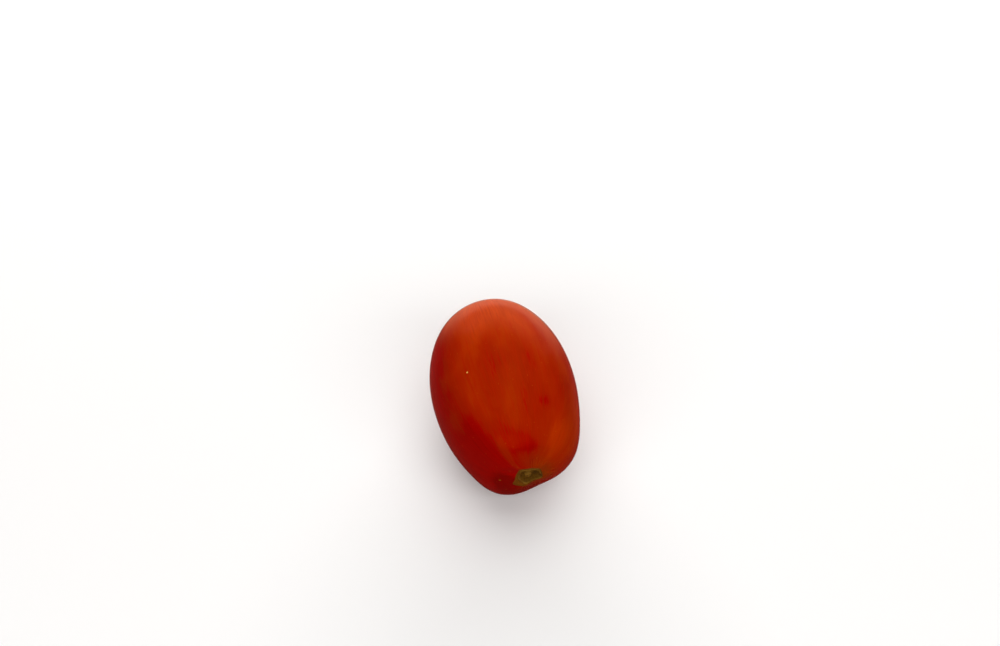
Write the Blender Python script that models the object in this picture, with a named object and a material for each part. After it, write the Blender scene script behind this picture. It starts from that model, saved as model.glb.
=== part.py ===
"""A ripe plum tomato, picked without its calyx, lying on its side.

The fruit grew as one piece, so it is one closed solid. Its own axis runs along Y, with the stem end at -Y
and the blossom end at +Y. It is worked out straight and level, as rings of points round that axis, and then
placed in the attitude in which its weight hangs over the small flat spot that it rests on.
Metres, +Z up. The origin is on the surface under the middle of the fruit.
"""

import math

import bmesh
import bpy
import numpy as np
from mathutils import Euler, Matrix, Vector

MM = 0.001

# Driving dimensions of the fruit
LENGTH = 80.0 * MM
WIDTH = 50.5 * MM

# How full the fruit is between its middle and each end: 1 is an ellipse, and less is blunter
STEM_FULLNESS = 0.80
BLOSSOM_FULLNESS = 0.89

# Soft lobes, each as (share of the radius, number of lobes, angle of one lobe's crest in degrees). Angles run
# round the axis from +X towards +Z. The shoulders' place and spread are shares of the way along the fruit.
SEED_CHAMBERS = (0.012, 3, 49.0)
FLATTENING = (0.026, 2, 17.0)
SHOULDERS = (0.105, 3, -11.0)
SHOULDER_PLACE = 0.16
SHOULDER_SPREAD = 0.13

# How far the middle bows out towards +X, and how far the stem end has drifted from the axis
BEND = 0.2 * MM
STEM_DRIFT = -0.7 * MM
DRIFT_REACH = 0.3

# The shallow cavity round the stem scar, the furrows between the shoulders, and small creases near the scar,
# whose first number is their height in millimetres
CAVITY_DEPTH = 1.3 * MM
CAVITY_RADIUS = 7.5 * MM
FURROW_DEPTH = 0.75 * MM
FURROW_PLACE = 9.0 * MM
FURROW_SPREAD = 4.0 * MM
CREASES = (0.20, 5, 6.0)
CREASE_PLACE = 6.2 * MM
CREASE_SPREAD = 1.8 * MM

# The corky scar that the calyx left: its five corners, each as (angle in degrees, distance from the middle),
# how far its sides are rounded at them, how far from it the skin still follows them, and how far it sits beside
# the end of the axis. Then come the heights of its relief
SCAR_RADIUS = 4.4 * MM
SCAR_CORNERS = ((32, 4.1 * MM), (128, 5.7 * MM), (179, 4.8 * MM), (240, 4.4 * MM), (330, 5.0 * MM))
CORNER_ROUNDING = 9
CORNER_REACH = 1.5
SCAR_SHIFT = 1.15 * MM
SKIRT_HEIGHT = 0.25 * MM
RIM_HEIGHT = 0.30 * MM
POCKET_DEPTH = 0.55 * MM
PLUG_HEIGHT = 0.60 * MM
UNEVEN = (0.15, 4, 0.0)

# Edges of the relief, as shares of the scar's radius: where each slope starts and ends, or its place and spread
SKIRT_SLOPE = (0.84, 1.06)
RIM_BELL = (0.80, 0.07)
POCKET_SLOPE = (0.60, 0.76)
PLUG_SLOPE = (0.24, 0.38)
PLUG_DENT = 0.12

# The point at the blossom end, and the dry speck on it
TIP_HEIGHT = 0.9 * MM
TIP_RADIUS = 4.5 * MM
SPECK_RADIUS = 0.9 * MM
SPECK_DEPTH = 0.20 * MM

# The attitude in which the fruit settles, and how high its middle then is over the surface
NOSE_UP = math.radians(0.2)
ROLL = math.radians(-4.8)
CENTRE = (0.07 * MM, -0.68 * MM, 24.30 * MM)

# Places of the rings: shares of the scar's radius, then even steps, then radii round the speck
SCAR_RINGS = (0.10, 0.20, 0.28, 0.36, 0.52, 0.68, 0.74, 0.80, 0.86, 0.93, 1.0, 1.12, 1.32, 1.6)
BODY_RINGS = 30
SPECK_RINGS = (4.0 * MM, 2.6 * MM, 1.6 * MM, SPECK_RADIUS, 0.5 * MM)
SEGMENTS = 60

# Material slots
SKIN, CORK = 0, 1
SKIN_COLOUR = (0.42, 0.022, 0.006, 1.0)
CORK_COLOUR = (0.13, 0.06, 0.018, 1.0)


def clear_scene():
    for obj in list(bpy.data.objects):
        bpy.data.objects.remove(obj, do_unlink=True)


def smooth_step(low, high, value):
    """0 up to low, 1 from high on, and an S curve between them."""
    share = np.clip((value - low) / (high - low), 0.0, 1.0)
    return share * share * (3 - 2 * share)


def bump(value, centre, spread):
    """A bell of height 1 at centre."""
    return np.exp(-(((value - centre) / spread) ** 2))


def wave(lobes, theta):
    """A cosine round the fruit, from (share, number of lobes, angle of a crest in degrees)."""
    share, count, crest = lobes
    return share * np.cos(count * (theta - math.radians(crest)))


def scar_edge(theta):
    """Distance of the scar's outline from its middle: straight sides between its corners, rounded at them."""
    degrees = np.arange(360)
    corners = np.array([distance * np.exp(1j * math.radians(angle)) for angle, distance in SCAR_CORNERS])
    before = np.searchsorted([angle for angle, _ in SCAR_CORNERS], degrees) - 1
    start = corners[before]
    side = corners[(before + 1) % len(corners)] - start
    ray = np.exp(1j * np.radians(degrees))
    distance = np.imag(start.conj() * side) / np.imag(ray.conj() * side)
    window = range(-CORNER_ROUNDING, CORNER_ROUNDING + 1)
    rounded = np.mean([np.roll(distance, shift) for shift in window], axis=0)
    return np.interp(theta, np.radians(degrees), rounded, period=2 * math.pi)


def scar_relief(radius, theta):
    """Height of the scar over the skin: a sloping skirt, a raised rim, a sunken pocket and a plug in it."""
    share = radius / SCAR_RADIUS
    skirt = SKIRT_HEIGHT * (1 - smooth_step(*SKIRT_SLOPE, share))
    rim = RIM_HEIGHT * bump(share, *RIM_BELL)
    pocket = -POCKET_DEPTH * (1 - smooth_step(*POCKET_SLOPE, share))
    plug = PLUG_HEIGHT * (1 - smooth_step(*PLUG_SLOPE, share)) * (1 - 0.5 * bump(share, 0.0, PLUG_DENT))
    uneven = 1 + wave(UNEVEN, theta) * smooth_step(0.0, PLUG_SLOPE[1], share)
    return (skirt + rim + pocket + plug) * uneven


def surface_point(turn, theta):
    """The fruit's surface, straight and level: turn is 0 at the stem end and pi at the blossom end."""
    along = turn / math.pi
    fullness = STEM_FULLNESS + (BLOSSOM_FULLNESS - STEM_FULLNESS) * smooth_step(0.0, 1.0, along)
    radius = WIDTH / 2 * np.sin(turn) ** fullness
    y = -LENGTH / 2 * np.cos(turn)
    stem_half = along < 0.5

    lobes = 1 + wave(SEED_CHAMBERS, theta) + wave(FLATTENING, theta)
    lobes = lobes + wave(SHOULDERS, theta) * bump(along, SHOULDER_PLACE, SHOULDER_SPREAD)
    cavity = CAVITY_DEPTH * bump(radius, 0.0, CAVITY_RADIUS)
    between = 0.5 - 0.5 * wave((1.0, *SHOULDERS[1:]), theta)
    furrow = FURROW_DEPTH * bump(radius, FURROW_PLACE, FURROW_SPREAD) * between
    crease = MM * wave(CREASES, theta) * bump(radius, CREASE_PLACE, CREASE_SPREAD)
    tip = TIP_HEIGHT * bump(radius, 0.0, TIP_RADIUS) - SPECK_DEPTH * bump(radius, 0.0, SPECK_RADIUS)
    y = y + np.where(stem_half, cavity + furrow + crease - scar_relief(radius, theta), tip)

    near_scar = np.where(stem_half, np.exp(-((radius / (CORNER_REACH * SCAR_RADIUS)) ** 4)), 0.0)
    radius = radius * lobes * (1 + (scar_edge(theta) / SCAR_RADIUS - 1) * near_scar)
    sideways = BEND * (1 - (2 * y / LENGTH) ** 2) + STEM_DRIFT * (1 - smooth_step(0.0, DRIFT_REACH, along))
    sideways = sideways + SCAR_SHIFT * near_scar
    return np.stack([radius * np.cos(theta) + sideways, y, radius * np.sin(theta)], axis=-1)


def turn_at_radius(radius, fullness):
    """The turn from an end's pole at which the plain fruit has this radius."""
    return math.asin((radius / (WIDTH / 2)) ** (1 / fullness))


def ring_turns():
    """The turn of each ring: close together on the scar and the speck, and even between them."""
    scar = [turn_at_radius(share * SCAR_RADIUS, STEM_FULLNESS) for share in SCAR_RINGS]
    speck = [math.pi - turn_at_radius(radius, BLOSSOM_FULLNESS) for radius in SPECK_RINGS]
    body = np.linspace(scar[-1], speck[0], BODY_RINGS + 2)[1:-1]
    return np.array([*scar, *body, *speck])


def fruit_mesh():
    """Rings of points joined by quads, with a fan of triangles at each pole."""
    turns = ring_turns()
    thetas = np.linspace(0, 2 * math.pi, SEGMENTS, endpoint=False)
    rings = surface_point(*np.meshgrid(turns, thetas, indexing="ij"))
    poles = surface_point(np.array([0.0, math.pi]), np.array([0.0, 0.0]))
    bm = bmesh.new()
    loops = [[bm.verts.new(point) for point in ring] for ring in rings]
    stem_pole, blossom_pole = (bm.verts.new(point) for point in poles)
    scar_edge = SCAR_RINGS.index(1.0)
    speck_edge = len(loops) - len(SPECK_RINGS) + SPECK_RINGS.index(SPECK_RADIUS)
    for i in range(SEGMENTS):
        j = (i + 1) % SEGMENTS
        bm.faces.new((stem_pole, loops[0][i], loops[0][j])).material_index = CORK
        bm.faces.new((blossom_pole, loops[-1][j], loops[-1][i])).material_index = CORK
        for number, (here, further) in enumerate(zip(loops, loops[1:])):
            face = bm.faces.new((here[i], further[i], further[j], here[j]))
            face.material_index = SKIN if scar_edge <= number < speck_edge else CORK
    return bm


def cut_rest_spot(bm, placing):
    """Cuts the fruit off flat at the surface that it lies on, and closes the cut with one face."""
    to_fruit = placing.inverted()
    down = to_fruit.to_3x3() @ Vector((0, 0, -1))
    cut = bmesh.ops.bisect_plane(
        bm,
        geom=bm.verts[:] + bm.edges[:] + bm.faces[:],
        plane_co=to_fruit @ Vector((0, 0, 0)),
        plane_no=down,
        clear_outer=True,
    )
    edges = [item for item in cut["geom_cut"] if isinstance(item, bmesh.types.BMEdge)]
    bmesh.ops.contextual_create(bm, geom=edges)
    for edge in edges:
        edge.smooth = False


def principled(name, colour, roughness):
    material = bpy.data.materials.new(name)
    material.use_nodes = True
    shader = material.node_tree.nodes["Principled BSDF"]
    shader.inputs["Base Color"].default_value = colour
    shader.inputs["Roughness"].default_value = roughness
    shader.inputs["Metallic"].default_value = 0.0
    return material


def make_tomato():
    placing = Matrix.Translation(CENTRE) @ Euler((NOSE_UP, ROLL, 0.0)).to_matrix().to_4x4()
    bm = fruit_mesh()
    cut_rest_spot(bm, placing)
    bmesh.ops.recalc_face_normals(bm, faces=bm.faces[:])
    mesh = bpy.data.meshes.new("tomato")
    bm.to_mesh(mesh)
    bm.free()
    mesh.materials.append(principled("ripe_skin", SKIN_COLOUR, 0.25))
    mesh.materials.append(principled("dry_cork", CORK_COLOUR, 0.85))
    mesh.shade_smooth()
    tomato = bpy.data.objects.new("tomato", mesh)
    tomato.matrix_world = placing
    bpy.context.scene.collection.objects.link(tomato)
    return tomato


clear_scene()
make_tomato()
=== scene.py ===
"""The looks of a ripe plum tomato, lying on its side on a pale floor.

The fruit is drawn again from its own dimensions, finely enough to show its ribs, its creased stem end,
the corky scar that the calyx left and the dry speck at the blossom end. Lengths are in metres, with +Z up.
In the fruit's own frame its axis runs along Y, from the stem end at -Y to the blossom end at +Y, and angles
run round the axis from +X towards +Z.
"""

from __future__ import annotations

import logging
import math
from dataclasses import dataclass, field
from enum import Enum
from typing import Any

import bpy
import numpy as np
from mathutils import Euler, Matrix, Vector


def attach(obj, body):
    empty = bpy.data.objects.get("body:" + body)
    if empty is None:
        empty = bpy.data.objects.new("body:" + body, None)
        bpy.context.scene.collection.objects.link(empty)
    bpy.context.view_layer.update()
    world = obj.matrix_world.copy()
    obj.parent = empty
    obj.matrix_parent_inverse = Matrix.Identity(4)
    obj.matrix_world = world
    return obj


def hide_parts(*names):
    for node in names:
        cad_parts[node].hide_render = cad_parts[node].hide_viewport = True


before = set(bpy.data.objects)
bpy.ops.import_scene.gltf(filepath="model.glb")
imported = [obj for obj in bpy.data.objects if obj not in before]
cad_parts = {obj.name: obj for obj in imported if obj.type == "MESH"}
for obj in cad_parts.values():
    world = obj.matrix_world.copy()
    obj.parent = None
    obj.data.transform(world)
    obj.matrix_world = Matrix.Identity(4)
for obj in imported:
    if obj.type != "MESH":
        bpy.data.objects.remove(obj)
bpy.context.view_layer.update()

MM = 0.001
BODY = "root"
LOG = logging.getLogger("tomato")

Array = np.ndarray
Pair = tuple[float, float]
Triple = tuple[float, float, float]
Colour = tuple[float, float, float, float]
Piece = bpy.types.Object
Material = bpy.types.Material
Tree = bpy.types.NodeTree
Node = bpy.types.Node
Socket = bpy.types.NodeSocket
Inputs = dict[str | int, Any]

WHITE: Colour = (1.0, 1.0, 1.0, 1.0)
UP = Vector((0.0, 0.0, 1.0))


class Slot(Enum):
    """The record's material slots."""

    SKIN = "skin"
    CORK = "cork"


class SocketKind(Enum):
    """What a node group's socket carries, as Blender names it."""

    NUMBER = "NodeSocketFloat"
    VECTOR = "NodeSocketVector"


def smooth_step(low: float, high: Array | float, value: Array) -> Array:
    """0 up to low, 1 from high on, and an S curve between them.

    Args:
        low: Where the curve leaves 0.
        high: Where it reaches 1, above low.
        value: The values to look up.

    Returns:
        The curve's height at each value.
    """
    share = np.clip((value - low) / (high - low), 0.0, 1.0)
    return share * share * (3 - 2 * share)


def bell(value: Array, centre: float, spread: float) -> Array:
    """A bell of height 1 at centre: e to the power of minus the squared distance over spread."""
    return np.exp(-(((value - centre) / spread) ** 2))


def ripple(turn: Array, theta: Array, seed: int, around: range, along: range) -> Array:
    """A smooth random swell: standing waves with random phases, about 1 high in all.

    Each wave is a cosine of its count times the angle, times a cosine of its own number times the turn.

    Args:
        turn: Place along the fruit, 0 to pi.
        theta: Angle round it.
        seed: Which draw.
        around: Counts of waves round the fruit.
        along: Numbers of half waves along it.

    Returns:
        The swell at each point.
    """
    draw = np.random.default_rng(seed)
    total = np.zeros_like(turn)
    for count in around:
        for number in along:
            phase, shift = draw.uniform(0, 2 * math.pi, 2)
            wave = np.cos(count * theta + phase) * np.cos(number * turn + shift)
            total = total + draw.normal() * wave
    return total / math.sqrt(len(around) * len(along) / 2)


@dataclass(frozen=True)
class Lobes:
    """Evenly spaced soft lobes round the fruit.

    Attributes:
        height: Height of a lobe, as a share of the radius or as a length.
        count: How many there are.
        crest: The angle of one lobe's crest, in degrees.
    """

    height: float
    count: int
    crest: float

    def at(self, theta: Array) -> Array:
        """The lobes' height at each angle: a cosine that goes round count times."""
        return self.height * np.cos(self.count * (theta - math.radians(self.crest)))


@dataclass(frozen=True)
class Outline:
    """A many-cornered outline round the stem end.

    Attributes:
        corners: Each corner as (angle in degrees, distance from the middle), by rising angle.
        rounding: Over how many degrees to each side the straight sides are averaged.
    """

    corners: tuple[Pair, ...]
    rounding: int = 9

    def distance(self, theta: Array) -> Array:
        """Distance of the outline from its middle.

        A straight side from corner P to corner Q is met by the ray u at (P x (Q - P)) / (u x (Q - P)). The
        result is a running mean of that over the angle, which rounds the corners.

        Args:
            theta: Angles in radians.

        Returns:
            The distance at each angle.
        """
        degrees = np.arange(360)
        angles, distances = np.array(self.corners).T
        corners = distances * np.exp(1j * np.radians(angles))
        before = np.searchsorted(angles, degrees) - 1
        start = corners[before]
        side = corners[(before + 1) % len(corners)] - start
        ray = np.exp(1j * np.radians(degrees))
        straight = np.imag(start.conj() * side) / np.imag(ray.conj() * side)
        window = range(-self.rounding, self.rounding + 1)
        rounded = np.mean([np.roll(straight, shift) for shift in window], axis=0)
        return np.interp(theta, np.radians(degrees), rounded, period=2 * math.pi)


@dataclass(frozen=True)
class FruitForm:
    """The whole fruit's dimensions, the same ones as its solid's, and its surface worked out from them."""

    length: float = 80.0 * MM
    width: float = 50.5 * MM
    stem_fullness: float = 0.80
    blossom_fullness: float = 0.89
    seed_chambers: Lobes = Lobes(0.012, 3, 49.0)
    flattening: Lobes = Lobes(0.026, 2, 17.0)
    shoulders: Lobes = Lobes(0.105, 3, -11.0)
    shoulder_place: float = 0.16
    shoulder_spread: float = 0.13
    bow: float = 0.2 * MM
    stem_drift: float = -0.7 * MM
    drift_reach: float = 0.3
    cavity_depth: float = 1.3 * MM
    cavity_radius: float = 7.5 * MM
    furrow_depth: float = 0.75 * MM
    furrow_place: float = 9.0 * MM
    furrow_spread: float = 4.0 * MM
    creases: Lobes = Lobes(0.20 * MM, 5, 6.0)
    crease_place: float = 6.2 * MM
    crease_spread: float = 1.8 * MM
    tip_height: float = 0.9 * MM
    tip_radius: float = 4.5 * MM
    scar_radius: float = 4.4 * MM
    scar: Outline = Outline(
        ((32, 4.1 * MM), (128, 5.7 * MM), (179, 4.8 * MM), (240, 4.4 * MM), (330, 5.0 * MM))
    )
    corner_reach: float = 1.5
    scar_shift: float = 1.15 * MM
    nose_up: float = math.radians(0.2)
    roll: float = math.radians(-4.8)
    centre: Triple = (0.07 * MM, -0.68 * MM, 24.30 * MM)
    floor_softness: float = 0.03 * MM

    def radius(self, turn: Array) -> Array:
        """Plain radius: half the width times the turn's sine to the power of the fullness there.

        Args:
            turn: Place along the fruit, 0 at the stem end and pi at the blossom end.

        Returns:
            The radius, before lobes and swells.
        """
        share = smooth_step(0.0, 1.0, turn / math.pi)
        fullness = self.stem_fullness + (self.blossom_fullness - self.stem_fullness) * share
        return self.width / 2 * np.sin(turn) ** fullness

    def surface(
        self, turn: Array, theta: Array, lift: Array | float = 0.0, swell: Array | float = 0.0
    ) -> Array:
        """The fruit's surface in its own frame: a rounded body with lobes, a cavity, furrows and a tip.

        Args:
            turn: Place along the fruit, 0 at the stem end and pi at the blossom end.
            theta: Angle round it.
            lift: How far the point stands out of the nearer end, along the axis.
            swell: Share by which the radius grows.

        Returns:
            The points, in an array with one more axis than turn.
        """
        along = turn / math.pi
        radius = self.radius(turn)
        stem_half = along < 0.5
        cavity = self.cavity_depth * bell(radius, 0.0, self.cavity_radius)
        between = 0.5 - 0.5 * self.shoulders.at(theta) / self.shoulders.height
        furrow = self.furrow_depth * bell(radius, self.furrow_place, self.furrow_spread) * between
        crease = self.creases.at(theta) * bell(radius, self.crease_place, self.crease_spread)
        tip = self.tip_height * bell(radius, 0.0, self.tip_radius)
        y = -self.length / 2 * np.cos(turn)
        y = y + np.where(stem_half, cavity + furrow + crease - lift, tip + lift)

        lobes = 1 + swell + self.seed_chambers.at(theta) + self.flattening.at(theta)
        lobes = lobes + self.shoulders.at(theta) * bell(along, self.shoulder_place, self.shoulder_spread)
        near = np.exp(-((radius / (self.corner_reach * self.scar_radius)) ** 4))
        near = np.where(stem_half, near, 0.0)
        radius = radius * lobes * (1 + (self.scar.distance(theta) / self.scar_radius - 1) * near)
        drift = self.stem_drift * (1 - smooth_step(0.0, self.drift_reach, along))
        sideways = self.bow * (1 - (2 * y / self.length) ** 2) + drift + self.scar_shift * near
        return np.stack([radius * np.cos(theta) + sideways, y, radius * np.sin(theta)], axis=-1)

    def stem_turn(self, radius: Array) -> Array:
        """The turn near the stem end at which the plain fruit has this radius."""
        return np.arcsin((radius / (self.width / 2)) ** (1 / self.stem_fullness))

    def blossom_turn(self, radius: Array) -> Array:
        """The turn near the blossom end at which the plain fruit has this radius."""
        return math.pi - np.arcsin((radius / (self.width / 2)) ** (1 / self.blossom_fullness))

    def place(self, points: Array) -> Array:
        """Turns and moves points from the fruit's frame to where it lies, pressed flat at the floor.

        The floor is a soft limit: half of z, plus the root of the sum of half of z squared and a small
        length squared.

        Args:
            points: Points in the fruit's frame.

        Returns:
            The points as they lie on the floor.
        """
        turned = np.array(Euler((self.nose_up, self.roll, 0.0)).to_matrix())
        placed = points @ turned.T + np.array(self.centre)
        half = placed[..., 2] / 2
        placed[..., 2] = half + np.sqrt(half**2 + self.floor_softness**2)
        return placed


def closed_shell(name: str, rings: Array, first_pole: Array, last_pole: Array) -> Piece:
    """A closed mesh of rings of points joined by quads, with a fan of triangles at each pole.

    Args:
        name: The piece's name.
        rings: Points by ring and by place round it. They go from the piece's -Y side to its +Y side, and
            the angle rises round each, so that the faces point outwards.
        first_pole: The point that closes the first ring.
        last_pole: The point that closes the last ring.

    Returns:
        The piece, at the origin, shaded smooth.
    """
    count, around = rings.shape[:2]
    points = np.concatenate([rings.reshape(-1, 3), [first_pole, last_pole]])
    start = np.arange(around)
    after = (start + 1) % around
    row = around * np.arange(count - 1)[:, None]
    quads = np.stack([row + start, row + around + start, row + around + after, row + after], axis=-1)
    first = np.stack([np.full(around, count * around), start, after], axis=-1)
    last_row = around * (count - 1)
    last = np.stack([np.full(around, count * around + 1), last_row + after, last_row + start], axis=-1)
    faces = quads.reshape(-1, 4).tolist() + first.tolist() + last.tolist()
    mesh = bpy.data.meshes.new(name)
    mesh.from_pydata(points.tolist(), [], faces)
    mesh.shade_smooth()
    piece = bpy.data.objects.new(name, mesh)
    bpy.context.scene.collection.objects.link(piece)
    return piece


def store(piece: Piece, name: str, values: Array) -> None:
    """Keeps a number or a vector for each point of a piece, for its material to read.

    Args:
        piece: The piece, made by closed_shell.
        name: The attribute's name.
        values: One number or vector for each point, in the mesh's order.
    """
    kind, entry = ("FLOAT_VECTOR", "vector") if values.ndim == 2 else ("FLOAT", "value")
    attribute = piece.data.attributes.new(name, kind, "POINT")
    attribute.data.foreach_set(entry, values.astype(np.float32).ravel())


def store_scar(
    piece: Piece, distance: Array, theta: Array, masks: dict[str, Array], middle: dict[str, Array]
) -> None:
    """Keeps what a scar's cork reads: its masks, and its grain in millimetres, across it and outwards.

    Args:
        piece: The scar, made by closed_shell.
        distance: Distance of each point from the scar's middle.
        theta: Angle of each point.
        masks: The masks by name, one value for each point of the rings.
        middle: The masks' values at the two poles.
    """
    for name, values in masks.items():
        store(piece, name, np.concatenate([values.ravel(), np.repeat(middle[name], 2)]))
    out = distance / MM
    grain = np.stack([out * np.cos(theta), out * np.sin(theta), out], axis=-1)
    store(piece, "grain", np.concatenate([grain.reshape(-1, 3), np.zeros((2, 3))]))


class NodeSheet:
    """Places nodes in one node tree and joins them."""

    def __init__(self, tree: Tree) -> None:
        """Keeps the tree that the nodes go into."""
        self.tree = tree

    def fill(self, node: Node, inputs: Inputs) -> None:
        """Fills a node's sockets.

        Args:
            node: The node.
            inputs: What goes into each socket: another node's output, or a plain value.
        """
        for socket, value in inputs.items():
            if isinstance(value, Socket):
                self.tree.links.new(value, node.inputs[socket])
            else:
                node.inputs[socket].default_value = value

    def add(self, kind: str, inputs: Inputs | None = None, **settings: Any) -> Node:
        """Places a node.

        Args:
            kind: Blender's name for the kind of node.
            inputs: What goes into its sockets.
            **settings: The node's own options.

        Returns:
            The node.
        """
        node = self.tree.nodes.new(kind)
        for name, value in settings.items():
            setattr(node, name, value)
        self.fill(node, inputs or {})
        return node

    def group(self, tree: Tree, inputs: Inputs) -> Node:
        """Places a node group and feeds it."""
        return self.add("ShaderNodeGroup", inputs, node_tree=tree)

    def maths(self, operation: str, first: Any, second: Any = 0.0) -> Socket:
        """The result of one sum on two numbers."""
        return self.add("ShaderNodeMath", {0: first, 1: second}, operation=operation).outputs[0]

    def plus(self, first: Any, second: Any) -> Socket:
        """One number and another together."""
        return self.maths("ADD", first, second)

    def minus(self, first: Any, second: Any) -> Socket:
        """One number less another."""
        return self.maths("SUBTRACT", first, second)

    def times(self, first: Any, second: Any) -> Socket:
        """One number times another."""
        return self.maths("MULTIPLY", first, second)

    def stretch(self, vector: Any, factors: Any) -> Socket:
        """A vector with each of its components multiplied by its own factor."""
        return self.add("ShaderNodeVectorMath", {0: vector, 1: factors}, operation="MULTIPLY").outputs[0]

    def dot(self, first: Any, second: Any) -> Socket:
        """How far one vector reaches along another: their dot product."""
        inputs = {0: first, 1: second}
        return self.add("ShaderNodeVectorMath", inputs, operation="DOT_PRODUCT").outputs["Value"]

    def noise(self, vector: Any, scale: Any, detail: float = 2.0, bend: float = 0.0) -> Socket:
        """Cloudy noise from 0 to 1, with scale in cells for each unit of the vector."""
        inputs = {"Vector": vector, "Scale": scale, "Detail": detail, "Distortion": bend}
        return self.add("ShaderNodeTexNoise", inputs).outputs[0]

    def fade(self, value: Any, low: float, high: float, start: float = 0.0, end: float = 1.0) -> Socket:
        """An S curve from start, where value is low, to end, where it is high."""
        inputs = {"Value": value, "From Min": low, "From Max": high, "To Min": start, "To Max": end}
        return self.add("ShaderNodeMapRange", inputs, interpolation_type="SMOOTHSTEP").outputs[0]

    def between(self, share: Any, first: Any, second: Any) -> Socket:
        """The first number turned into the second by share."""
        return self.add("ShaderNodeMix", {0: share, 2: first, 3: second}, data_type="FLOAT").outputs[0]

    def layers(self, colour: Any, *layers: tuple[Any, Any]) -> Socket:
        """A colour with others laid over it.

        Args:
            colour: The lowest colour.
            *layers: The others, from the lowest up, each as its share and its colour.

        Returns:
            The colour that is seen.
        """
        for share, over in layers:
            inputs = {0: share, 6: colour, 7: over}
            colour = self.add("ShaderNodeMix", inputs, data_type="RGBA").outputs[2]
        return colour

    def attribute(self, name: str, output: str = "Fac") -> Socket:
        """A number or a vector that the piece keeps for each of its points."""
        return self.add("ShaderNodeAttribute", attribute_name=name).outputs[output]

    def bump(self, *reliefs: tuple[Any, float]) -> Socket:
        """A normal tilted by reliefs, one on top of another.

        Args:
            *reliefs: Each as a height from 0 to 1 and the distance that it stands for.

        Returns:
            The tilted normal.
        """
        below: Inputs = {}
        for height, distance in reliefs:
            node = self.add("ShaderNodeBump", {"Height": height, "Distance": distance, **below})
            below = {"Normal": node.outputs[0]}
        return below["Normal"]


def new_group(
    name: str, inputs: dict[str, SocketKind], outputs: dict[str, SocketKind]
) -> tuple[NodeSheet, Any, Node]:
    """An empty shader node group with named sockets.

    Args:
        name: The group's name.
        inputs: Name to kind of each input socket.
        outputs: Name to kind of each output socket.

    Returns:
        The group's sheet, the outputs of its input node, by name, and its output node.
    """
    tree = bpy.data.node_groups.new(name, "ShaderNodeTree")
    for direction, sockets in (("INPUT", inputs), ("OUTPUT", outputs)):
        for socket, kind in sockets.items():
            tree.interface.new_socket(name=socket, in_out=direction, socket_type=kind.value)
    sheet = NodeSheet(tree)
    return sheet, sheet.add("NodeGroupInput").outputs, sheet.add("NodeGroupOutput")


def growth_grain() -> Tree:
    """Fine growth grain, used by the skin and by the cork: a light and dark shade, and a height.

    Two noises are read at the coordinates times the stretch, a broad one and one about twice as fine. The
    height is half of each, and the shade is an S curve over the height's middle range.

    Returns:
        The group, with inputs Coordinates, Stretch and Scale and outputs Shade and Height, both 0 to 1.
    """
    sheet, given, result = new_group(
        "growth_grain",
        {"Coordinates": SocketKind.VECTOR, "Stretch": SocketKind.VECTOR, "Scale": SocketKind.NUMBER},
        {"Shade": SocketKind.NUMBER, "Height": SocketKind.NUMBER},
    )
    place = sheet.stretch(given["Coordinates"], given["Stretch"])
    broad = sheet.noise(place, given["Scale"], 3.0)
    fine = sheet.noise(place, sheet.times(given["Scale"], 2.1))
    height = sheet.plus(sheet.times(broad, 0.50), sheet.times(fine, 0.50))
    sheet.fill(result, {"Shade": sheet.fade(height, 0.36, 0.64), "Height": height})
    return sheet.tree


def small_mark() -> Tree:
    """One small mark, placed once for each mark on the skin: 1 inside a long ellipsoid and 0 outside it.

    The squared offset from the centre is split into its part along the given direction, over the length
    squared, and the rest, over the width squared. An S curve round 1 of their sum gives the soft edge.

    Returns:
        The group, with inputs Coordinates, Centre, Direction, Length and Width and the output Mask.
    """
    sheet, given, result = new_group(
        "small_mark",
        {
            "Coordinates": SocketKind.VECTOR,
            "Centre": SocketKind.VECTOR,
            "Direction": SocketKind.VECTOR,
            "Length": SocketKind.NUMBER,
            "Width": SocketKind.NUMBER,
        },
        {"Mask": SocketKind.NUMBER},
    )
    ends = {0: given["Coordinates"], 1: given["Centre"]}
    offset = sheet.add("ShaderNodeVectorMath", ends, operation="SUBTRACT").outputs[0]
    along = sheet.dot(offset, given["Direction"])
    along = sheet.times(along, along)
    rest = sheet.minus(sheet.dot(offset, offset), along)
    long_part = sheet.maths("DIVIDE", along, sheet.times(given["Length"], given["Length"]))
    wide_part = sheet.maths("DIVIDE", rest, sheet.times(given["Width"], given["Width"]))
    sheet.fill(result, {"Mask": sheet.fade(sheet.plus(long_part, wide_part), 0.5, 1.5, 1.0, 0.0)})
    return sheet.tree


def new_material(name: str) -> tuple[Material, NodeSheet, Node]:
    """A new material.

    Args:
        name: The material's name.

    Returns:
        The material, its sheet and its own Principled shader.
    """
    material = bpy.data.materials.new(name)
    material.use_nodes = True
    sheet = NodeSheet(material.node_tree)
    return material, sheet, material.node_tree.nodes["Principled BSDF"]


@dataclass(frozen=True)
class Mark:
    """A small mark on the skin.

    Attributes:
        turn: Where it is along the fruit, 0 to pi.
        theta: Its angle round the fruit, in degrees.
        length: Half its length, in millimetres.
        width: Half its width, in millimetres.
    """

    turn: float
    theta: float
    length: float
    width: float


@dataclass(frozen=True)
class BlushAndPaintedShade:
    """A soft patch of tone: mostly skin that ripened a little more or less than the rest; a few deep ones
    are painted shade.

    Attributes:
        turn: Its middle along the fruit, 0 to pi.
        theta: Its middle round the fruit, in degrees.
        length: How far it spreads along the fruit, as a turn.
        width: How far it spreads round the fruit, in degrees.
        tone: Its strength: 1 is orange red, and -1 is deep red.
    """

    turn: float
    theta: float
    length: float
    width: float
    tone: float

    def at(self, turn: Array, theta: Array) -> Array:
        """Its tone at each point: a bell along the fruit times a bell round it."""
        apart = (np.degrees(theta) - self.theta + 180.0) % 360.0 - 180.0
        return self.tone * bell(turn, self.turn, self.length) * bell(apart, 0.0, self.width)


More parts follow.
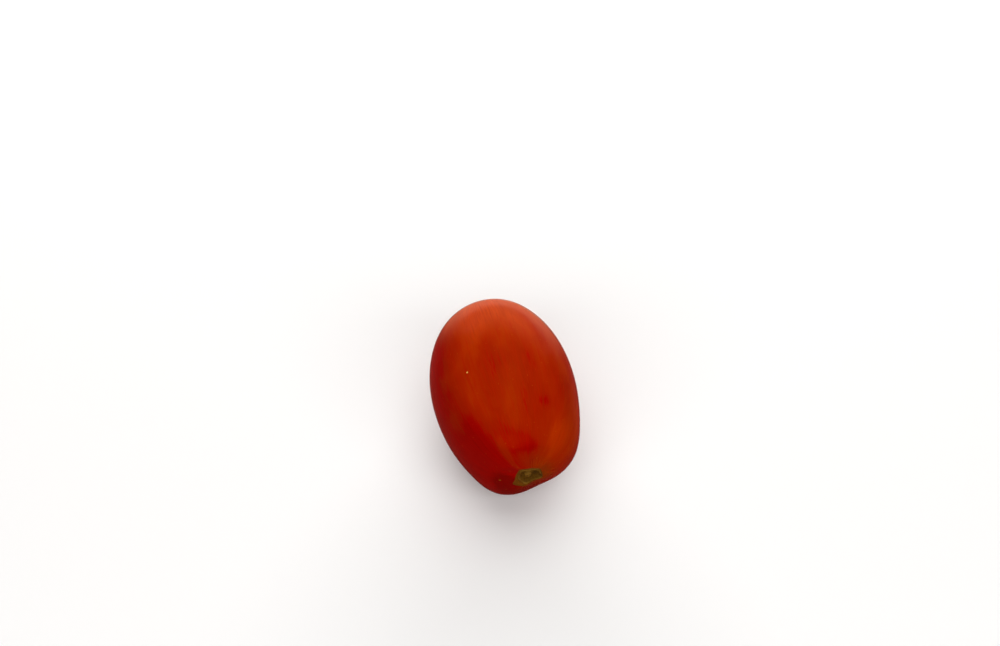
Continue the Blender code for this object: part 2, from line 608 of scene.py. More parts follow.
@dataclass(frozen=True)
class SkinFinish:
    """Ripe waxy skin: deep red with warmer mottling and faint streaks that run from end to end.

    It reads four attributes of the skin. Grain is a place in millimetres on a cylinder of even radius
    round the axis, with the way along the fruit as its third number, so a pattern follows the skin and
    meets itself all round. The patches of tone, painted shade among them, are added to the tone, which
    runs from a dark wine red through deep red and ripe red to warm orange; where it falls very low, mostly
    under the stem end, the dark wine red is painted shade. Halo and star are the shares of the brown ring
    at the stem scar and of the pale star at the blossom end.
    """

    deep: Colour = (0.350, 0.0004, 0.0000, 1.0)
    ripe: Colour = (0.362, 0.0135, 0.0000, 1.0)
    warm: Colour = (0.500, 0.0400, 0.0000, 1.0)
    # Dark wine red: the streaks' own colour, and also painted shade where the tone is very low.
    dusky_streak_and_painted_shade: Colour = (0.175, 0.0003, 0.0001, 1.0)
    halo: Colour = (0.185, 0.0370, 0.0010, 1.0)
    star: Colour = (0.560, 0.1500, 0.0200, 1.0)
    pale: Colour = (0.800, 0.5200, 0.1200, 1.0)
    brown: Colour = (0.250, 0.0650, 0.0050, 1.0)
    # Painted shade: between these tones the dark wine red is laid over the skin, up to this share, mostly
    # under the stem end.
    painted_shade_tone: Pair = (-4.5, -2.5)
    painted_shade_share: float = 0.85
    ripe_tone: Pair = (-0.80, -0.40)
    warm_tone: Pair = (-0.1, 1.6)
    patch_stretch: Triple = (1.0, 1.0, 0.5)
    patch_scale: float = 0.10
    patch_tone: float = 3.0
    streak_stretch: Triple = (1.0, 1.0, 0.05)
    streak_scale: float = 1.4
    streak_tone: float = 4.6
    streak_share: float = 0.40
    streak_height: float = 0.03 * MM
    peel_scale: float = 2.2
    peel_height: float = 0.004 * MM
    dot_scale: float = 0.45
    dot_size: Pair = (0.03, 0.09)
    dot_share: float = 0.45
    blotch_scale: float = 0.55
    blotch_edge: Pair = (0.25, 0.75)
    blotch_least: float = 0.55
    speck: Mark = Mark(1.47, 121.7, 0.36, 0.32)
    nick: Mark = Mark(0.324, 186.0, 0.75, 0.24)
    roughness: Pair = (0.17, 0.24)
    cloud_scale: float = 0.3
    cloud_edge: Pair = (0.3, 0.7)
    halo_roughness: float = 0.25
    nick_roughness: float = 0.3
    refraction: float = 1.45
    gloss: float = 0.8
    gloss_tint: Colour = (1.0, 0.20, 0.0, 1.0)
    glow: float = 0.12
    glow_spread: Triple = (1.0, 0.20, 0.08)
    glow_depth: float = 3.0 * MM
    grain_radius: float = 25.0
    blushes_and_painted_shade: tuple[BlushAndPaintedShade, ...] = (
        BlushAndPaintedShade(0.72, 150.0, 0.28, 28.0, -2.3),
        BlushAndPaintedShade(0.35, 170.0, 0.22, 35.0, -1.5),
        # Painted shade and painted reflection: a long deep red band down the left side.
        BlushAndPaintedShade(1.35, 188.0, 0.78, 34.0, -1.8),
        BlushAndPaintedShade(1.95, 170.0, 0.38, 31.0, -2.0),
        BlushAndPaintedShade(0.53, 98.0, 0.13, 13.0, -1.4),
        BlushAndPaintedShade(0.46, 80.0, 0.12, 12.0, -1.5),
        BlushAndPaintedShade(0.52, 117.0, 0.16, 7.0, 0.7),
        BlushAndPaintedShade(1.05, 115.0, 0.25, 25.0, 0.4),
        BlushAndPaintedShade(1.40, 128.0, 0.35, 13.0, 0.6),
        BlushAndPaintedShade(0.50, 240.0, 0.30, 40.0, -0.6),
        BlushAndPaintedShade(0.72, 18.0, 0.44, 38.0, 1.3),
        BlushAndPaintedShade(2.15, 85.0, 0.35, 25.0, 0.7),
        # Painted shade: these two darken the underside of the stem end.
        BlushAndPaintedShade(0.22, 216.0, 0.26, 60.0, -5.0),
        BlushAndPaintedShade(0.27, 285.0, 0.15, 30.0, -4.0),
        BlushAndPaintedShade(0.97, 59.0, 0.08, 6.0, -1.1),
        BlushAndPaintedShade(1.48, 94.0, 0.17, 9.0, -0.5),
        BlushAndPaintedShade(1.42, 68.0, 0.13, 7.0, -0.5),
        BlushAndPaintedShade(2.40, 80.0, 0.70, 120.0, 1.5),
        BlushAndPaintedShade(1.60, 265.0, 0.80, 40.0, -0.5),
    )

    def grain(self, turn: Array, theta: Array, form: FruitForm) -> Array:
        """Grain places in millimetres: a cylinder of even radius round the axis, then the way along it.

        Args:
            turn: Place along the fruit.
            theta: Angle round it.
            form: The fruit's dimensions.

        Returns:
            The places, in an array with one more axis than turn.
        """
        along = -form.length / MM / 2 * np.cos(turn)
        x, z = self.grain_radius * np.cos(theta), self.grain_radius * np.sin(theta)
        return np.stack([x, z, along], axis=-1)

    def ripeness(self, sheet: NodeSheet, grain: Socket, streaks: Node) -> Socket:
        """The colour of the plain skin.

        The tone is mottling from a noise, plus streaks from the growth grain, plus the patches of tone and
        painted shade. The colour goes from deep to ripe to warm as the tone rises, and to a dark wine red
        in a streak; where the tone is very low, mostly under the stem end, that dark red is painted shade.

        Args:
            sheet: The material's sheet.
            grain: The grain places.
            streaks: The growth_grain node.

        Returns:
            The colour.
        """
        patches = sheet.noise(sheet.stretch(grain, self.patch_stretch), self.patch_scale, 3.0, 0.4)
        mottling = sheet.times(sheet.minus(patches, 0.5), self.patch_tone)
        streaking = sheet.times(sheet.minus(streaks.outputs["Height"], 0.5), self.streak_tone)
        # The patches of tone include painted shade under the stem end and down the left side.
        tone = sheet.plus(sheet.plus(mottling, streaking), sheet.attribute("blush_and_painted_shade"))
        return sheet.layers(
            self.deep,
            (sheet.fade(tone, *self.ripe_tone), self.ripe),
            (sheet.fade(tone, *self.warm_tone), self.warm),
            # Painted shade: the dark wine red where the tone is very low, mostly under the stem end.
            (sheet.fade(tone, *self.painted_shade_tone, self.painted_shade_share, 0.0), self.dusky_streak_and_painted_shade),
            (sheet.times(streaks.outputs["Shade"], self.streak_share), self.dusky_streak_and_painted_shade),
        )

    def mark(self, sheet: NodeSheet, group: Tree, form: FruitForm, grain: Socket, mark: Mark) -> Socket:
        """The mask of one small mark, which runs round the fruit.

        Args:
            sheet: The material's sheet.
            group: The small_mark group.
            form: The fruit's dimensions.
            grain: The grain places.
            mark: The mark.

        Returns:
            1 on the mark and 0 off it.
        """
        angle = math.radians(mark.theta)
        inputs = {
            "Coordinates": grain,
            "Centre": self.grain(np.array(mark.turn), np.array(angle), form).tolist(),
            "Direction": (-math.sin(angle), math.cos(angle), 0.0),
            "Length": mark.length,
            "Width": mark.width,
        }
        return sheet.group(group, inputs).outputs["Mask"]

    def build(self, form: FruitForm, fibre: Tree, marks: Tree) -> Material:
        """The material.

        Args:
            form: The fruit's dimensions.
            fibre: The growth_grain group.
            marks: The small_mark group.

        Returns:
            The finished material.
        """
        material, sheet, shader = new_material("ripe_skin")
        grain = sheet.attribute("grain", "Vector")
        streaks = sheet.group(
            fibre, {"Coordinates": grain, "Stretch": self.streak_stretch, "Scale": self.streak_scale}
        )
        blotches = sheet.noise(grain, self.blotch_scale, 4.0)
        uneven = sheet.fade(blotches, *self.blotch_edge, self.blotch_least, 1.0)
        halo = sheet.times(sheet.attribute("halo"), uneven)
        star = sheet.times(sheet.attribute("star"), uneven)
        speck = self.mark(sheet, marks, form, grain, self.speck)
        nick = self.mark(sheet, marks, form, grain, self.nick)
        cells = sheet.add("ShaderNodeTexVoronoi", {"Vector": grain, "Scale": self.dot_scale})
        dots = sheet.fade(cells.outputs["Distance"], *self.dot_size, self.dot_share, 0.0)
        colour = sheet.layers(
            self.ripeness(sheet, grain, streaks),
            (halo, self.halo),
            (star, self.star),
            (dots, self.star),
            (speck, self.pale),
            (nick, self.brown),
        )
        rough = sheet.fade(sheet.noise(grain, self.cloud_scale, 3.0), *self.cloud_edge, *self.roughness)
        rough = sheet.plus(rough, sheet.times(halo, self.halo_roughness))
        rough = sheet.plus(rough, sheet.times(nick, self.nick_roughness))
        peel = sheet.noise(grain, self.peel_scale, 3.0)
        normal = sheet.bump((peel, self.peel_height), (streaks.outputs["Height"], self.streak_height))
        finish = {
            "Base Color": colour,
            "Roughness": rough,
            "Normal": normal,
            "IOR": self.refraction,
            "Specular IOR Level": self.gloss,
            "Specular Tint": self.gloss_tint,
            "Subsurface Weight": self.glow,
            "Subsurface Radius": self.glow_spread,
            "Subsurface Scale": self.glow_depth,
        }
        sheet.fill(shader, finish)
        return material


@dataclass(frozen=True)
class CorkFinish:
    """Dry cork: olive brown, with tan ridges, dark pits and fine fibres.

    It reads the scar's grain and its masks: cork is 1 on the cork and 0 on the collar round it, ridge and
    pit are raised and sunk places, and flush is the edge where the scar turns into skin.
    """

    name: str = "dry_cork"
    olive: Colour = (0.104, 0.0460, 0.0012, 1.0)
    tan: Colour = (0.250, 0.1300, 0.0150, 1.0)
    collar: Colour = (0.175, 0.0600, 0.0010, 1.0)
    pit: Colour = (0.030, 0.0120, 0.0010, 1.0)
    # Dark maroon edge: partly the skin's colour at the scar, partly painted shade, matched to the skin
    # darkened under the stem end.
    flush: Colour = (0.160, 0.0030, 0.0003, 1.0)
    fibre_stretch: Triple = (1.0, 1.0, 0.35)
    fibre_scale: float = 3.0
    fibre_edge: Pair = (0.35, 0.7)
    fibre_share: float = 0.45
    fibre_height: float = 0.10 * MM
    crumb_finer: float = 2.5
    crumb_edge: Pair = (0.52, 0.75)
    crumb_share: float = 0.5
    crumb_height: float = 0.05 * MM
    roughness: Pair = (0.70, 0.92)
    flush_gloss: float = 0.45
    gloss: float = 0.15

    def build(self, fibre: Tree) -> Material:
        """The material.

        Args:
            fibre: The growth_grain group.

        Returns:
            The finished material.
        """
        material, sheet, shader = new_material(self.name)
        grain = sheet.attribute("grain", "Vector")
        fibres = sheet.group(
            fibre, {"Coordinates": grain, "Stretch": self.fibre_stretch, "Scale": self.fibre_scale}
        ).outputs["Height"]
        crumbs = sheet.noise(grain, self.fibre_scale * self.crumb_finer, 4.0)
        flush = sheet.attribute("flush")
        colour = sheet.layers(
            self.collar,
            (sheet.attribute("cork"), self.olive),
            (sheet.attribute("ridge"), self.tan),
            (sheet.attribute("pit"), self.pit),
            (sheet.fade(fibres, *self.fibre_edge, 0.0, self.fibre_share), self.pit),
            (sheet.fade(crumbs, *self.crumb_edge, 0.0, self.crumb_share), self.tan),
            (flush, self.flush),
        )
        rough = sheet.fade(crumbs, 0.3, 0.7, *self.roughness)
        rough = sheet.minus(rough, sheet.times(flush, self.flush_gloss))
        normal = sheet.bump((crumbs, self.crumb_height), (fibres, self.fibre_height))
        sheet.fill(shader, {"Base Color": colour, "Roughness": rough, "Normal": normal})
        sheet.fill(shader, {"Specular IOR Level": self.gloss})
        return material


@dataclass
class Skin:
    """The whole skin, closed at both ends, sunk a little under the stem scar and the blossom scar."""

    form: FruitForm
    finish: SkinFinish = field(default_factory=SkinFinish)
    around: int = 360
    stem_rows: int = 100
    body_rows: int = 120
    blossom_rows: int = 36
    stem_reach: float = 0.50
    blossom_reach: float = 2.80
    uneven: float = 0.0045
    ribs: float = 0.0011
    stem_sunk: float = 1.3 * MM
    lip: float = 0.10 * MM
    blossom_sunk: float = 0.8 * MM
    blossom_hole: Pair = (0.6 * MM, 1.0 * MM)
    halo_reach: float = 2.7
    halo_side: float = math.radians(-20.0)
    star_strength: float = 0.38
    star_core: float = 0.8 * MM
    star_reach: float = 6.0 * MM

    def grid(self) -> tuple[Array, Array]:
        """The places of the skin's points, closer together at the stem end and at the blossom end.

        Returns:
            The turns and the angles, each by ring and by place round it.
        """
        stem = np.linspace(0.0, self.stem_reach, self.stem_rows, endpoint=False)[1:]
        body = np.linspace(self.stem_reach, self.blossom_reach, self.body_rows, endpoint=False)
        blossom = np.linspace(self.blossom_reach, math.pi, self.blossom_rows, endpoint=False)
        thetas = np.linspace(0.0, 2 * math.pi, self.around, endpoint=False)
        return np.meshgrid(np.concatenate([stem, body, blossom]), thetas, indexing="ij")

    def relief(self, turn: Array, theta: Array) -> tuple[Array, Array]:
        """How the skin swells and stands out beyond its main form.

        The swell is a slow unevenness and fine ribs, both fading at the poles with the sine of the turn
        squared. The lift sinks the skin under the scars and raises a thin lip round the stem scar.

        Args:
            turn: Place along the fruit.
            theta: Angle round it.

        Returns:
            The share by which the radius grows, and the lift along the axis.
        """
        fade = np.sin(turn) ** 2
        slow = self.uneven * ripple(turn, theta, 3, range(2, 6), range(1, 5)) * fade
        fine = self.ribs * ripple(turn, theta, 8, range(9, 24, 2), range(0, 3)) * fade
        radius = self.form.radius(turn)
        share = radius / self.form.scar_radius
        stem = -self.stem_sunk * (1 - smooth_step(0.80, 1.00, share)) + self.lip * bell(share, 1.22, 0.12)
        blossom = -self.blossom_sunk * (1 - smooth_step(*self.blossom_hole, radius))
        return slow + fine, np.where(turn < math.pi / 2, stem, blossom)

    def patterns(self, turn: Array, theta: Array) -> dict[str, Array]:
        """What the skin's finish reads.

        The halo fades outwards from the stem scar and is stronger on one side of it. The star fades
        outwards from the blossom scar, further along its rays, which are two cosines of the angle.

        Args:
            turn: Place along the fruit of each point.
            theta: Angle round it of each point.

        Returns:
            The attributes' values, by name.
        """
        radius = self.form.radius(turn)
        side = np.clip(0.35 + 0.65 * np.cos(theta - self.halo_side), 0.0, 1.0)
        halo = (1 - smooth_step(1.0, self.halo_reach, radius / self.form.scar_radius)) * side
        rays = 0.65 + 0.25 * np.cos(5 * theta + 0.6) + 0.10 * np.cos(3 * theta)
        star = self.star_strength * (1 - smooth_step(self.star_core, self.star_reach * rays, radius))
        return {
            "grain": self.finish.grain(turn, theta, self.form),
            # Patches of tone, with painted shade under the stem end and down the left side.
            "blush_and_painted_shade": sum(patch.at(turn, theta) for patch in self.finish.blushes_and_painted_shade),
            "halo": np.where(turn < 1.0, halo, 0.0),
            "star": np.where(turn > 2.0, star, 0.0),
        }

    def build(self, fibre: Tree, marks: Tree) -> Piece:
        """Makes the skin's mesh and dresses it.

        Args:
            fibre: The growth_grain group.
            marks: The small_mark group.

        Returns:
            The piece.
        """
        turn, theta = self.grid()
        swell, lift = self.relief(turn, theta)
        rings = self.form.place(self.form.surface(turn, theta, lift, swell))
        ends = np.array([0.0, math.pi])
        zero = np.zeros(2)
        poles = self.form.place(self.form.surface(ends, zero, self.relief(ends, zero)[1]))
        piece = closed_shell("tomato_skin", rings, *poles)
        all_turns = np.concatenate([turn.ravel(), ends])
        all_thetas = np.concatenate([theta.ravel(), zero])
        for name, values in self.patterns(all_turns, all_thetas).items():
            store(piece, name, values)
        piece.data.materials.append(self.finish.build(self.form, fibre, marks))
        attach(piece, BODY)
        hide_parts("tomato")
        return piece


@dataclass
class StemScar:
    """The corky scar that the calyx left: a brown collar round it, a ridge, pockets and a woody plug."""

    form: FruitForm
    finish: CorkFinish = field(default_factory=CorkFinish)
    collar: Outline = Outline(
        (
            (32, 4.5 * MM),
            (128, 6.1 * MM),
            (176, 5.6 * MM),
            (207, 6.3 * MM),
            (243, 5.9 * MM),
            (328, 5.5 * MM),
        ),
        rounding=7,
    )
    around: int = 300
    top_rows: int = 110
    under_rows: int = 12
    reach: float = 1.10
    under_depth: float = 1.1 * MM
    skirt: float = 0.22 * MM
    dive: float = 0.9 * MM
    ridge_height: float = 0.34 * MM
    pocket_depth: float = 0.62 * MM
    plug_place: Pair = (-0.7 * MM, 0.5 * MM)
    plug_size: Pair = (1.35 * MM, 1.65 * MM)
    plug_height: float = 0.66 * MM
    slot_depth: float = 0.24 * MM
    hollow_depth: float = 0.34 * MM
    corner_depth: float = 0.22 * MM
    collar_height: float = 0.10 * MM
    wrinkle_height: float = 0.02 * MM
    ray_height: float = 0.07 * MM
    rough_height: float = 0.045 * MM
    fine_height: float = 0.022 * MM

    def reliefs(self, share: Array, theta: Array) -> tuple[Array, dict[str, Array]]:
        """Height of the scar over the skin, and the masks of its parts.

        share is 1 on the collar's outline, and inner is 1 on the cork's own. The ridge is a bell just
        inside the cork's edge, the pocket an S-shaped step down inside that, and the plug an oval that
        rises from it.

        Args:
            share: Distance from the middle, over the collar's at that angle.
            theta: Angle round the axis.

        Returns:
            The lift along the axis, and the masks named as CorkFinish reads them.
        """
        distance = share * self.collar.distance(theta)
        inner = distance / self.form.scar.distance(theta)
        x, z = distance * np.cos(theta), distance * np.sin(theta)
        rough = ripple(share * 3.0, theta, 21, range(5, 30, 3), range(2, 14, 3))
        fine = ripple(share * 3.0, theta, 22, range(24, 72, 6), range(6, 40, 6))

        broken = 0.75 + 0.35 * ripple(share * 0.0, theta, 23, range(2, 9), range(1, 2))
        ridge = bell(inner, 0.90, 0.055) * np.clip(broken, 0.25, 1.3)
        pocket = 1 - smooth_step(0.62, 0.80, inner + 0.03 * rough)
        plug_x = (x - self.plug_place[0]) / self.plug_size[0]
        plug_z = (z - self.plug_place[1]) / self.plug_size[1]
        turned = np.arctan2(plug_z, plug_x)
        ragged = 1 + 0.10 * np.cos(3 * turned + 0.5) + 0.05 * np.cos(7 * turned + 1.9) + 0.05 * rough
        plug_share = np.hypot(plug_x, plug_z) * ragged
        plug = (1 - smooth_step(0.62, 1.10, plug_share)) * (1 + 0.22 * plug_z - 0.12 * plug_x)
        crack = plug_z + 0.35 * plug_x - 0.30 * plug_x**2 + 0.05 * rough
        slot = bell(crack, -0.36, 0.12) * (1 - smooth_step(0.30, 0.75, np.abs(plug_x + 0.12)))
        hollow = bell(x, 1.75 * MM, 0.75 * MM) * bell(z, 0.45 * MM, 1.35 * MM)
        corner = bell(x, 3.45 * MM, 0.75 * MM) * bell(z, -0.75 * MM, 0.60 * MM)
        rays = pocket * (1 - plug) * np.cos(17 * theta + 2.2 * rough) * smooth_step(0.25, 0.6, inner)
        collar = smooth_step(0.98, 1.06, inner)
        wrinkles = collar * np.cos(31 * theta + 1.5 * rough) * (1 - smooth_step(0.9, 1.0, share))

        lift = self.skirt * (1 - smooth_step(0.90, 1.00, share))
        lift = lift - self.dive * smooth_step(0.97, self.reach, share)
        lift = lift + self.ridge_height * ridge - self.pocket_depth * pocket + self.plug_height * plug
        lift = lift - self.slot_depth * slot * plug - self.hollow_depth * hollow * (1 - plug)
        lift = lift - self.corner_depth * corner + self.collar_height * collar * bell(share, 0.86, 0.09)
        lift = lift + self.wrinkle_height * wrinkles + self.ray_height * rays
        lift = lift + self.rough_height * rough + self.fine_height * fine
        masks = {
            "cork": 1 - smooth_step(0.98, 1.04, inner),
            "ridge": np.clip(0.9 * ridge + 0.75 * plug * (1 - slot), 0.0, 1.0),
            "pit": np.clip(0.75 * hollow * (1 - plug) + 0.8 * slot * plug + 0.7 * corner, 0.0, 0.92),
            "flush": smooth_step(0.93, 1.02, share),
        }
        return lift, masks

    def points(self, share: Array, theta: Array, lift: Array) -> Array:
        """Points of the scar, on the fruit's own surface and lifted off it along the axis.

        Args:
            share: Distance from the middle, over the collar's at that angle.
            theta: Angle round the axis.
            lift: Height over the skin.

        Returns:
            The points as they lie.
        """
        distance = share * self.collar.distance(theta)
        plain = distance * self.form.scar_radius / self.form.scar.distance(theta)
        return self.form.place(self.form.surface(self.form.stem_turn(plain), theta, lift))

    def build(self, fibre: Tree) -> Piece:
        """Makes the scar as a thin closed patch, whose edge dives under the skin, and dresses it.

        Args:
            fibre: The growth_grain group.

        Returns:
            The piece.
        """
        thetas = np.linspace(0.0, 2 * math.pi, self.around, endpoint=False)
        top = np.linspace(0.0, self.reach, self.top_rows + 1)[1:]
        under = np.linspace(self.reach, 0.0, self.under_rows + 1)[1:-1]
        share, theta = np.meshgrid(np.concatenate([top, under]), thetas, indexing="ij")
        lift, masks = self.reliefs(share, theta)
        lift[len(top):] = -self.under_depth
        middle_lift, middle_masks = self.reliefs(np.zeros(1), np.zeros(1))
        ends = np.array([middle_lift[0], -self.under_depth])
        poles = self.points(np.zeros(2), np.zeros(2), ends)
        piece = closed_shell("stem_scar", self.points(share, theta, lift), *poles)
        store_scar(piece, share * self.collar.distance(theta), theta, masks, middle_masks)
        piece.data.materials.append(self.finish.build(fibre))
        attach(piece, BODY)
        return piece


@dataclass
class BlossomScar:
    """The dry speck at the blossom end: a small ragged disc with the stub of the style in its middle."""

    form: FruitForm
    finish: CorkFinish = CorkFinish(
        name="dry_tip", olive=(0.16, 0.075, 0.025, 1.0), tan=(0.48, 0.30, 0.12, 1.0), fibre_scale=4.0
    )
    radius: float = 1.25 * MM
    reach: float = 1.15
    around: int = 120
    top_rows: int = 40
    under_rows: int = 6
    under_depth: float = 0.6 * MM
    skirt: float = 0.10 * MM
    dive: float = 0.5 * MM
    stub_height: float = 0.45 * MM
    dish_depth: float = 0.12 * MM
    rough_height: float = 0.03 * MM

    def reliefs(self, share: Array, theta: Array) -> tuple[Array, dict[str, Array]]:
        """Height of the speck over the skin, and the masks of its parts.

        edge is share made ragged by two cosines of the angle and a ripple. The stub is an S-shaped step up
        at the middle, and the dish a ring sunk round it.

        Args:
            share: Distance from the middle, over the speck's radius.
            theta: Angle round the axis.

        Returns:
            The lift along the axis, and the masks named as CorkFinish reads them.
        """
        rough = ripple(share * 3.0, theta, 31, range(3, 18, 2), range(2, 12, 2))
        edge = share * (1 + 0.16 * np.cos(3 * theta + 0.7) + 0.10 * np.cos(5 * theta + 2.1) + 0.05 * rough)
        stub = 1 - smooth_step(0.10, 0.26, edge + 0.05 * rough)
        dish = bell(edge, 0.42, 0.16) * (0.7 + 0.3 * np.cos(2 * theta))
        lift = self.skirt * (1 - smooth_step(0.72, 1.0, share))
        lift = lift - self.dive * smooth_step(0.95, self.reach, share)
        lift = lift + self.stub_height * stub * (1 - 0.4 * bell(share, 0.0, 0.12)) - self.dish_depth * dish
        lift = lift + self.rough_height * rough * (1 - smooth_step(0.9, 1.1, share))
        masks = {
            "cork": np.ones_like(share),
            "ridge": np.clip(0.35 * bell(edge, 0.74, 0.14) * (1 + 0.5 * rough) + 0.35 * stub, 0.0, 1.0),
            "pit": np.clip(0.6 * dish + 0.6 * bell(edge, 0.0, 0.10), 0.0, 0.9),
            "flush": np.clip(smooth_step(0.66, 0.98, edge) + smooth_step(0.92, 1.0, share), 0.0, 1.0),
        }
        return lift, masks

    def build(self, fibre: Tree) -> Piece:
        """Makes the speck as a thin closed patch, from its hidden side to its outer one, and dresses it.

        Args:
            fibre: The growth_grain group.

        Returns:
            The piece.
        """
        thetas = np.linspace(0.0, 2 * math.pi, self.around, endpoint=False)
        top = np.linspace(self.reach, 0.0, self.top_rows + 1)[:-1]
        under = np.linspace(0.0, self.reach, self.under_rows + 1)[1:-1]
        share, theta = np.meshgrid(np.concatenate([under, top]), thetas, indexing="ij")
        lift, masks = self.reliefs(share, theta)
        lift[: len(under)] = -self.under_depth
        middle_lift, middle_masks = self.reliefs(np.zeros(1), np.zeros(1))
        ends = np.array([-self.under_depth, middle_lift[0]])
        form = self.form
        distance = share * self.radius
        rings = form.place(form.surface(form.blossom_turn(distance), theta, lift))
        poles = form.place(form.surface(np.full(2, math.pi), np.zeros(2), ends))
        piece = closed_shell("blossom_scar", rings, *poles)
        store_scar(piece, distance, theta, masks, middle_masks)
        piece.data.materials.append(self.finish.build(fibre))
        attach(piece, BODY)
        return piece


@dataclass(frozen=True)
class FloorFinish:
    """Pale, plain and slightly glossy floor.

    The camera sees it pale everywhere, and it glows far away, where no softbox reaches. The fruit gets a
    weaker warm bounce from it. What the fruit mirrors of it goes from the rim colour near the fruit to the
    mirrored colour further out, and to the brighter one in a wedge straight behind the fruit.
    """

    pale: Colour = (0.90, 0.90, 0.89, 1.0)
    bounce: Colour = (0.24, 0.09, 0.08, 1.0)
    rim: Colour = (0.26, 0.04, 0.03, 1.0)
    mirrored: Colour = (0.12, 0.03, 0.02, 1.0)
    behind: Colour = (0.66, 0.33, 0.20, 1.0)
    rim_end: Pair = (0.070, 0.130)
    behind_start: Pair = (0.055, 0.110)
    wedge: Pair = (0.70, 0.94)
    glow: float = 0.9
    glow_start: Pair = (0.5, 1.8)
    roughness: float = 0.6

    def build(self, away: Vector) -> Material:
        """The material.

        Args:
            away: The level direction from the camera past the fruit.

        Returns:
            The finished material.
        """
        material, sheet, shader = new_material("pale_floor")
        path = sheet.add("ShaderNodeLightPath")
        place = sheet.add("ShaderNodeTexCoord").outputs["Object"]
        distance = sheet.add("ShaderNodeVectorMath", {0: place}, operation="LENGTH").outputs["Value"]
        beyond = sheet.dot(place, away)
        straight = sheet.fade(sheet.maths("DIVIDE", beyond, distance), *self.wedge)
        mirrored = sheet.layers(
            self.rim,
            (sheet.fade(distance, *self.rim_end), self.mirrored),
            (sheet.times(sheet.fade(beyond, *self.behind_start), straight), self.behind),
        )
        seen = path.outputs["Is Camera Ray"]
        colour = sheet.layers(self.bounce, (path.outputs["Is Glossy Ray"], mirrored), (seen, self.pale))
        glow = sheet.times(sheet.fade(distance, *self.glow_start, 0.0, self.glow), seen)
        finish = {
            "Base Color": colour,
            "Emission Strength": glow,
            "Emission Color": WHITE,
            "Roughness": self.roughness,
        }
        sheet.fill(shader, finish)
        return material


@dataclass(frozen=True)
class Tent:
    """The white tent round the floor.

    It gives little light itself. What the fruit mirrors of it is a warm bright dome that ends a little over
    the horizon in front, dimmer behind and redder on both sides.
    """

    light: float = 0.09
    least_shine: float = 0.08
    dome_shine: float = 0.72
    dome_edge: Pair = (-0.05, 0.15)
    front_limit: float = 0.20
    front: Pair = (0.4, 0.9)
    back_dimming: float = 0.45
    back: Pair = (0.1, 0.75)
    beside: Pair = (0.12, 0.50)
    shine_colour: Colour = (1.0, 0.48, 0.15, 1.0)
    side_colour: Colour = (1.0, 0.03, 0.006, 1.0)

    def build(self, away: Vector, right: Vector) -> None:
        """Makes the tent and puts it round the scene.

        Args:
            away: The level direction from the camera past the fruit.
            right: The camera's right.
        """
        world = bpy.data.worlds.new("tent")
        world.use_nodes = True
        sheet = NodeSheet(world.node_tree)
        path = sheet.add("ShaderNodeLightPath")
        mirrored = path.outputs["Is Glossy Ray"]
        direction = sheet.add("ShaderNodeTexCoord").outputs["Generated"]
        limit = sheet.fade(sheet.dot(direction, -away), *self.front, 0.0, self.front_limit)
        height = sheet.minus(sheet.dot(direction, UP), limit)
        dome = sheet.fade(height, *self.dome_edge, 0.0, self.dome_shine)
        dimmed = sheet.fade(sheet.dot(direction, away), *self.back, 1.0, self.back_dimming)
        shine = sheet.plus(sheet.times(dome, dimmed), self.least_shine)
        strength = sheet.between(mirrored, self.light, shine)
        strength = sheet.between(path.outputs["Is Camera Ray"], strength, 1.0)
        beside = sheet.fade(sheet.maths("ABSOLUTE", sheet.dot(direction, right)), *self.beside)
        warm = sheet.layers(self.shine_colour, (beside, self.side_colour))
        colour = sheet.layers(WHITE, (mirrored, warm))
        sheet.fill(world.node_tree.nodes["Background"], {"Strength": strength, "Color": colour})
        bpy.context.scene.world = world


@dataclass(frozen=True)
class Softbox:
    """A rectangular soft light aimed at the fruit.

    Attributes:
        name: Its name.
        place: Where it stands from the fruit's middle: away from the camera, to its right, and up.
        size: Its width and height.
        power: Its power in watts.
    """

    name: str
    place: Triple
    size: Pair
    power: float

    def build(self, target: Vector, away: Vector, right: Vector) -> Piece:
        """Hangs the light, unseen by the camera and by reflections.

        Args:
            target: The fruit's middle.
            away: The level direction from the camera past the fruit.
            right: The camera's right.

        Returns:
            The light.
        """
        offset = away * self.place[0] + right * self.place[1] + UP * self.place[2]
        data = bpy.data.lights.new(self.name, "AREA")
        data.shape = "RECTANGLE"
        data.size, data.size_y = self.size
        data.energy = self.power
        light = bpy.data.objects.new(self.name, data)
        light.location = target + offset
        light.rotation_euler = offset.to_track_quat("Z", "Y").to_euler()
        light.visible_camera = False
        light.visible_glossy = False
        bpy.context.scene.collection.objects.link(light)
        return light


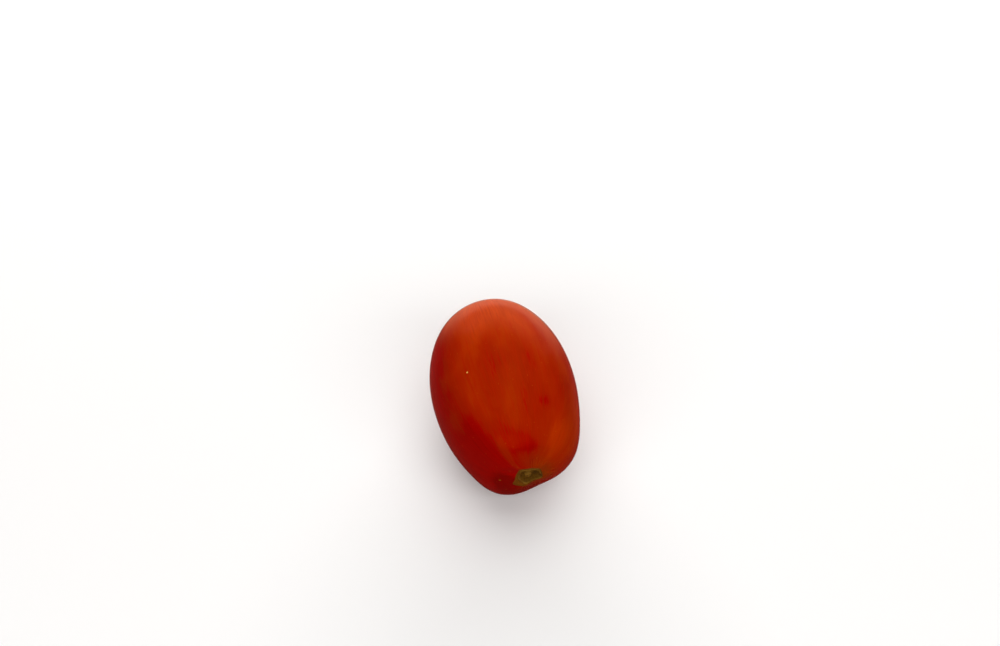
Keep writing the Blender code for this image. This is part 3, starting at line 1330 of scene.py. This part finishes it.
@dataclass
class Studio:
    """A pale floor inside a soft white tent, three softboxes, and the camera."""

    form: FruitForm
    floor_finish: FloorFinish = field(default_factory=FloorFinish)
    tent: Tent = field(default_factory=Tent)
    softboxes: tuple[Softbox, ...] = (
        Softbox("overhead", (0.20, 0.0, 1.10), (1.5, 1.2), 5.6),
        Softbox("front", (-1.00, 0.06, 0.82), (3.0, 0.8), 20.3),
        Softbox("behind", (1.20, 0.0, 0.30), (1.8, 0.56), 26.0),
    )
    floor_size: float = 6.0
    image: tuple[int, int] = (1000, 646)
    lens: float = 85.0
    sensor: float = 36.0
    azimuth: float = -13.07
    elevation: float = 46.99
    depth: float = 0.8503
    centre_pixel: Pair = (504.0, 393.7)

    def directions(self) -> tuple[Vector, Vector, Vector]:
        """The camera's directions, from its azimuth and its elevation.

        Returns:
            Its right, its up and its backward direction.
        """
        a, e = math.radians(self.azimuth), math.radians(self.elevation)
        back = Vector((math.sin(a) * math.cos(e), -math.cos(a) * math.cos(e), math.sin(e)))
        right = Vector((math.cos(a), math.sin(a), 0.0))
        return right, back.cross(right), back

    def camera(self) -> Piece:
        """The camera, placed so that the fruit's middle falls on its pixel.

        How far it stands aside is the pixel's offset from the picture's middle, over the focal length in
        pixels, times the depth.

        Returns:
            The camera, which is also the scene's.
        """
        right, up, back = self.directions()
        focal = self.lens / self.sensor * self.image[0]
        x = (self.centre_pixel[0] - self.image[0] / 2) / focal * self.depth
        y = (self.image[1] / 2 - self.centre_pixel[1]) / focal * self.depth
        place = Vector(self.form.centre) - right * x - up * y + back * self.depth
        data = bpy.data.cameras.new("camera")
        data.lens = self.lens
        data.sensor_width = self.sensor
        camera = bpy.data.objects.new("camera", data)
        turned = Matrix((right, up, back)).transposed().to_4x4()
        camera.matrix_world = Matrix.Translation(place) @ turned
        bpy.context.scene.collection.objects.link(camera)
        bpy.context.scene.camera = camera
        return camera

    def floor(self, away: Vector) -> Piece:
        """The floor, one large square.

        Args:
            away: The level direction from the camera past the fruit.

        Returns:
            The floor.
        """
        half = self.floor_size / 2
        corners = [(-half, -half, 0.0), (half, -half, 0.0), (half, half, 0.0), (-half, half, 0.0)]
        mesh = bpy.data.meshes.new("floor")
        mesh.from_pydata(corners, [], [(0, 1, 2, 3)])
        mesh.materials.append(self.floor_finish.build(away))
        floor = bpy.data.objects.new("floor", mesh)
        bpy.context.scene.collection.objects.link(floor)
        return floor

    def build(self) -> None:
        """Sets up the camera, the floor and the light."""
        bpy.context.scene.view_settings.view_transform = "Standard"
        right, _, back = self.directions()
        away = Vector((-back.x, -back.y, 0.0)).normalized()
        self.camera()
        self.floor(away)
        self.tent.build(away, right)
        for softbox in self.softboxes:
            softbox.build(Vector(self.form.centre), away, right)


def main() -> None:
    """Builds the studio and then the fruit, piece by piece."""
    logging.basicConfig(level=logging.INFO, format="%(name)s: %(message)s")
    form = FruitForm()
    Studio(form).build()
    fibre = growth_grain()
    marks = small_mark()
    pieces = [
        Skin(form).build(fibre, marks),
        StemScar(form).build(fibre),
        BlossomScar(form).build(fibre),
    ]
    for piece in pieces:
        size = ", ".join(f"{side / MM:.1f}" for side in piece.dimensions)
        LOG.info("%s: %d faces, %s mm", piece.name, len(piece.data.polygons), size)


if __name__ == "__main__":
    main()
